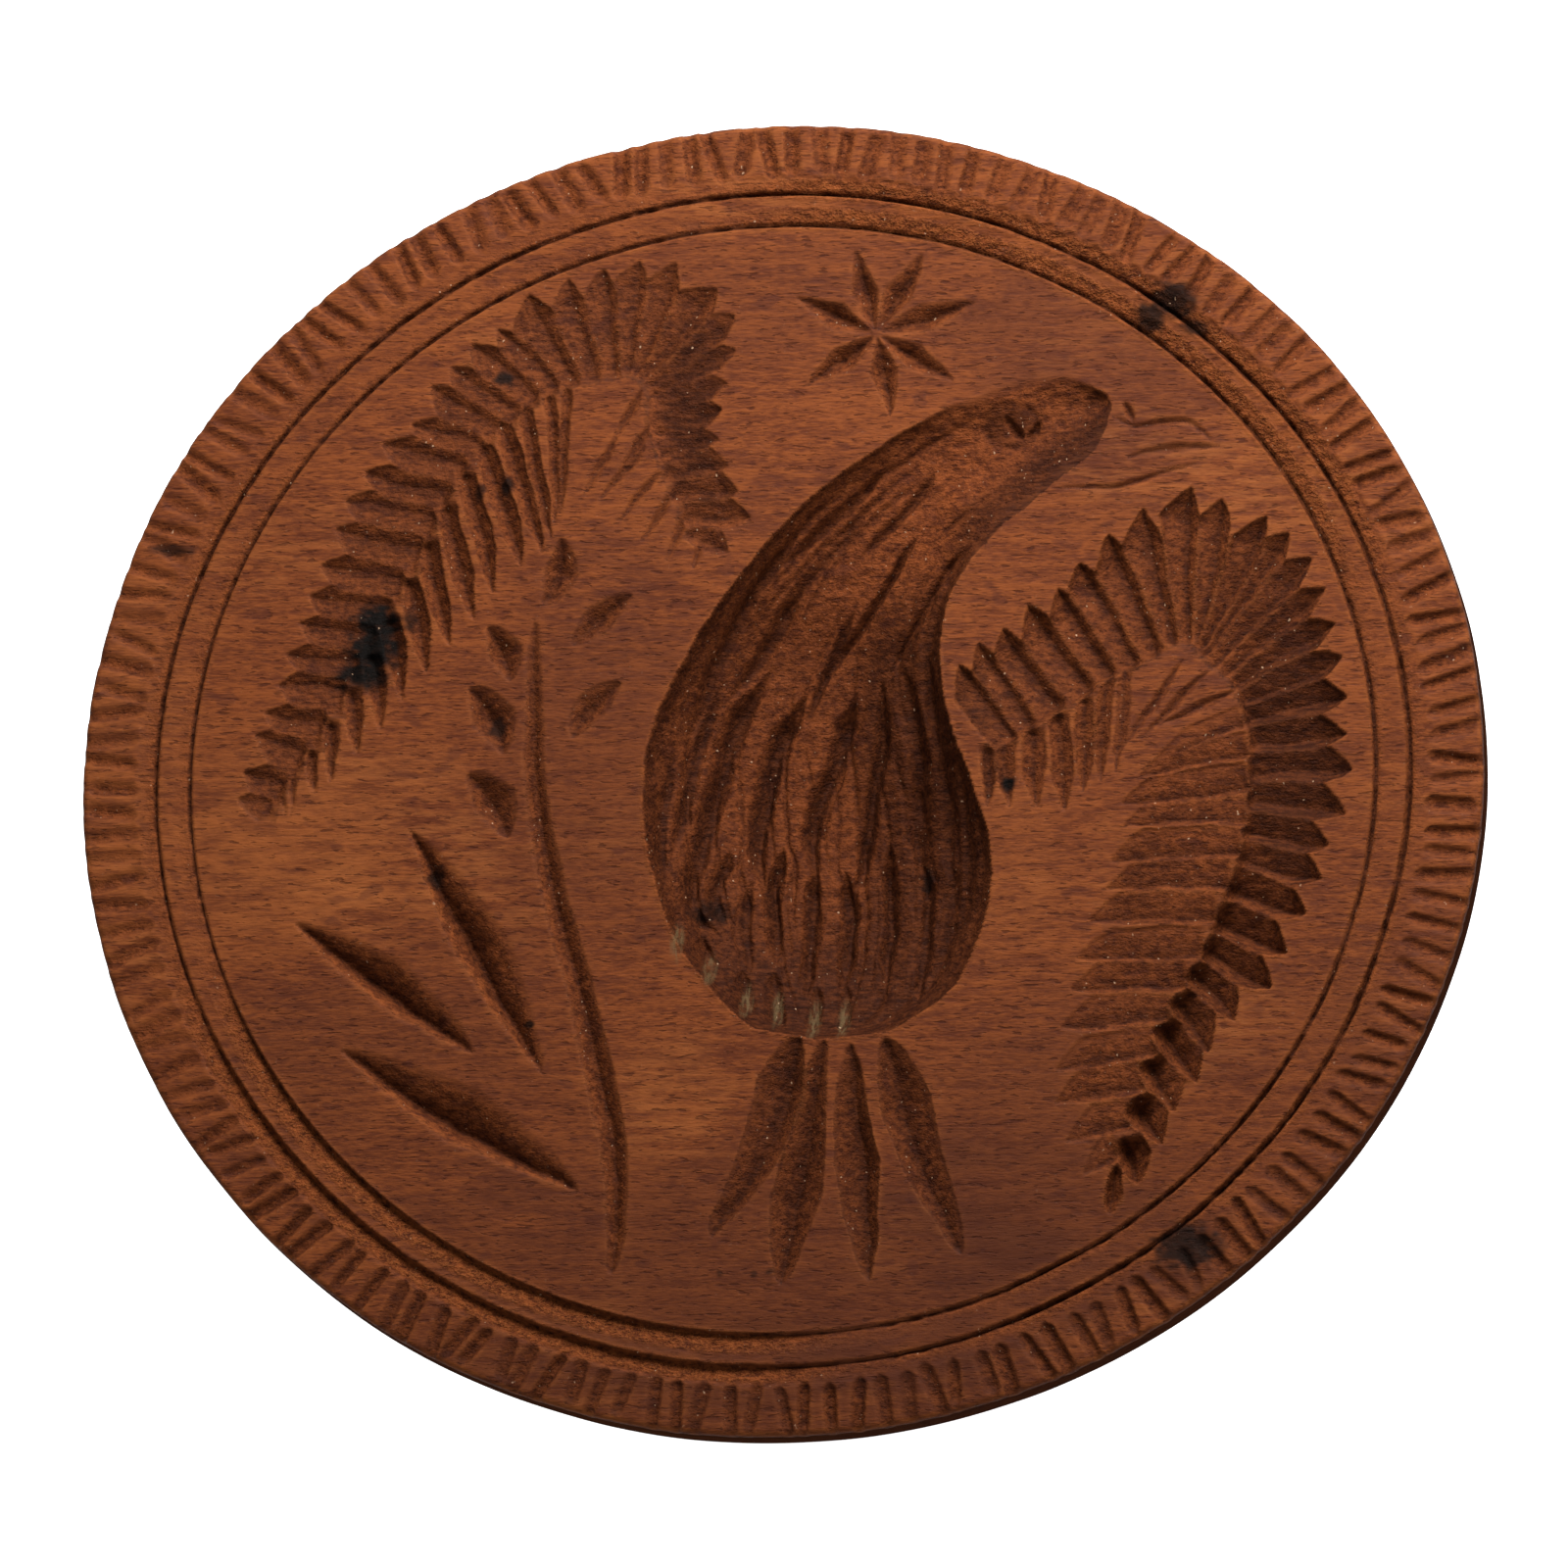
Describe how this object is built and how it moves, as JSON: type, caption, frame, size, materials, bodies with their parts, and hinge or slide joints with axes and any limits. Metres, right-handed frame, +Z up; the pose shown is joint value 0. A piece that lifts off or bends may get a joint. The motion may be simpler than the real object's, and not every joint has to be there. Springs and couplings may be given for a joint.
{
  "type": "butter print",
  "caption": "Round wooden butter print on a turned handle, its face carved with a bird between two feathery fronds, a star and a leafy stem.",
  "frame": {"origin": "centre of the flat end of the handle, on the surface the print stands on", "axes": "+Z up the handle to the carved face, +X along the grain of the print head, +Y towards the carved star"},
  "size_m": [0.11, 0.104, 0.0885],
  "materials": {
    "print_wood": "waxed, reddish brown, darker in the cuts, satin",
    "handle_wood": "waxed, reddish brown, polished by the hand, satin"
  },
  "bodies": {
    "handle": {"handle": "handle_wood"},
    "print": {"print_head": "print_wood"}
  },
  "joints": [
    {"name": "print_pulls_off", "type": "slide", "parent": "handle", "child": "print", "axis": [0, 0, 1], "range_m": [0, 0.02]}
  ]
}
